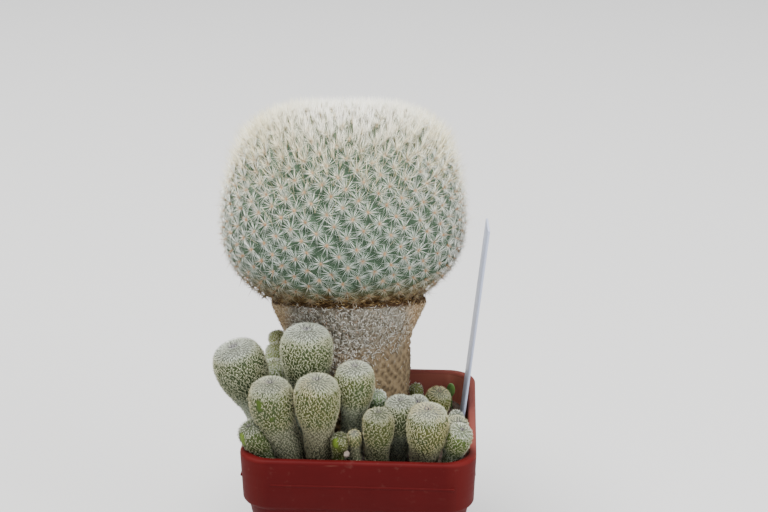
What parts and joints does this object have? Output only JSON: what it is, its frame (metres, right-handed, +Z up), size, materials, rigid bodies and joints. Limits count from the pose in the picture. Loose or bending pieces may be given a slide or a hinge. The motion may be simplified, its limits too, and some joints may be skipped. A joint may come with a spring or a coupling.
{
  "type": "potted button cactus",
  "caption": "Round white-spined button cactus on a corky stem, with small club-shaped offsets, in a square plastic pot with a blank label.",
  "frame": {"origin": "centre of the pot's flat underside", "axes": "+Z up through the pot, -Y towards the front, where the offsets lean out over the rim, +X to the right as seen from the front"},
  "size_m": [0.0854, 0.0957, 0.1619],
  "materials": {
    "pot": "satin",
    "soil": "matte",
    "stem": "matte",
    "head": "matte",
    "offset_skin": "matte",
    "offset_green": "matte",
    "offset_pale": "matte",
    "sprout": "satin",
    "label": "satin"
  },
  "bodies": {
    "root": {"pot": "pot", "soil": "soil", "main_stem": "stem", "main_head": "head", "offset_left_outer": "offset_skin", "offset_left_tall": "offset_skin", "offset_left_front": "offset_skin", "offset_middle_front": "offset_skin", "offset_middle_tall": "offset_skin", "offset_right_slim": "offset_skin", "offset_right_inner": "offset_skin", "offset_right_behind": "offset_skin", "offset_right_large": "offset_skin", "offset_corner_right": "offset_green", "offset_right_edge": "offset_skin", "offset_right_grey": "offset_pale", "offset_back_right": "offset_skin", "offset_back_green": "offset_green", "offset_corner_left": "offset_green", "offset_front_green": "offset_green", "offset_front_pale": "offset_pale", "offset_by_stem": "offset_pale", "offset_back_olive": "offset_skin", "offset_back_pale": "offset_pale", "offset_back_low": "offset_pale", "offset_hidden_left": "offset_skin", "offset_hidden_middle": "offset_skin", "sprout": "sprout", "plant_label": "label"}
  },
  "joints": []
}
